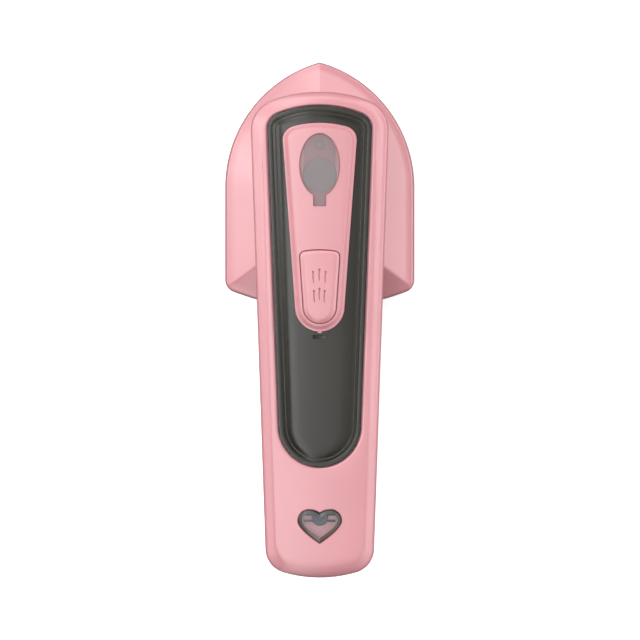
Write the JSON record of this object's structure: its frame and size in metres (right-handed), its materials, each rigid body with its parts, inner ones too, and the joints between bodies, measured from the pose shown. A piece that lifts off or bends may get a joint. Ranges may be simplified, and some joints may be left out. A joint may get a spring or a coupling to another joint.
{
  "type": "garment steamer",
  "caption": "Handheld garment steamer: an iron-shaped heated head that swivels under a flat handle holding a smoked water tank, steam button and filler plug.",
  "frame": {"origin": "on the soleplate's working face, on the swivel's axis", "axes": "+Z from the soleplate up through the handle, +Y to the head's pointed nose; the handle's tail lies along -Y at rest"},
  "size_m": [0.0784, 0.2103, 0.0623],
  "materials": {
    "pink_shell": "satin moulded ABS, light pink",
    "smoked_tank": "glossy smoked translucent polycarbonate",
    "grey_silicone": "translucent matte grey silicone",
    "clear_lens": "clear polished polycarbonate",
    "dark_plastic": "fine textured heat-resistant nylon",
    "white_plastic": "plain moulded",
    "coated_soleplate": "smooth ceramic-coated aluminium",
    "cast_aluminium": "as cast",
    "steel": "bright zinc or stainless",
    "black_rubber": "matte",
    "red_silicone": "matte heat-resistant silicone",
    "circuit_board": "solder-masked glass epoxy",
    "led_blue_grey": "diffused, unlit"
  },
  "bodies": {
    "head": {"soleplate": "coated_soleplate", "heater_casting": "cast_aluminium", "heating_element": "steel", "chamber_gasket": "red_silicone", "steam_chamber_cover": "cast_aluminium", "thermostat": "steel", "thermal_fuse": "white_plastic", "heat_shield": "dark_plastic", "head_cover": "pink_shell", "swivel_ring": "dark_plastic", "wave_washer": "steel", "head_screw_front": "steel", "head_screw_left": "steel", "head_screw_right": "steel"},
    "handle": {"swivel_retainer": "steel", "retainer_screw_1": "steel", "retainer_screw_2": "steel", "retainer_screw_3": "steel", "handle_lower_shell": "pink_shell", "handle_upper_shell": "pink_shell", "shell_screw_front_left": "steel", "shell_screw_front_right": "steel", "shell_screw_rear_left": "steel", "shell_screw_rear_right": "steel", "tank_body": "smoked_tank", "tank_lid": "smoked_tank", "control_panel": "pink_shell", "filler_plug_anchor": "grey_silicone", "button_spring": "steel", "steam_switch": "dark_plastic", "control_board": "circuit_board", "pump_motor": "steel", "pump_head": "white_plastic", "inlet_hose": "red_silicone", "outlet_hose": "red_silicone", "lead_sleeve": "white_plastic", "heart_lens": "clear_lens", "led_holder": "led_blue_grey", "indicator_led": "led_blue_grey", "cord_gland": "black_rubber", "cord_clamp": "white_plastic", "clamp_screw_1": "steel", "clamp_screw_2": "steel"},
    "filler_plug": {"filler_plug": "grey_silicone"},
    "steam_button": {"steam_button": "pink_shell"},
    "switch_plunger": {"switch_plunger": "white_plastic"}
  },
  "joints": [
    {"name": "swivel", "type": "hinge", "parent": "head", "child": "handle", "pos_m": [0, 0, 0.02], "axis": [0, 0, 1], "range_deg": [0, 180]},
    {"name": "filler_flap", "type": "hinge", "parent": "handle", "child": "filler_plug", "pos_m": [0, 0.016, 0.0613], "axis": [-1, 0, 0], "range_deg": [0, 110], "stiffness_Nm_per_rad": 0.003},
    {"name": "button_press", "type": "slide", "parent": "handle", "child": "steam_button", "axis": [0, 0, -1], "range_m": [0, 0.0015], "stiffness_N_per_m": 800, "springref_m": -0.002, "deforming": ["button_spring"]},
    {"name": "plunger_press", "type": "slide", "parent": "handle", "child": "switch_plunger", "axis": [0, 0, -1], "range_m": [0, 0.0015]}
  ],
  "couplings": [
    {"joint": "plunger_press", "follows": "button_press", "ratio": 1}
  ]
}
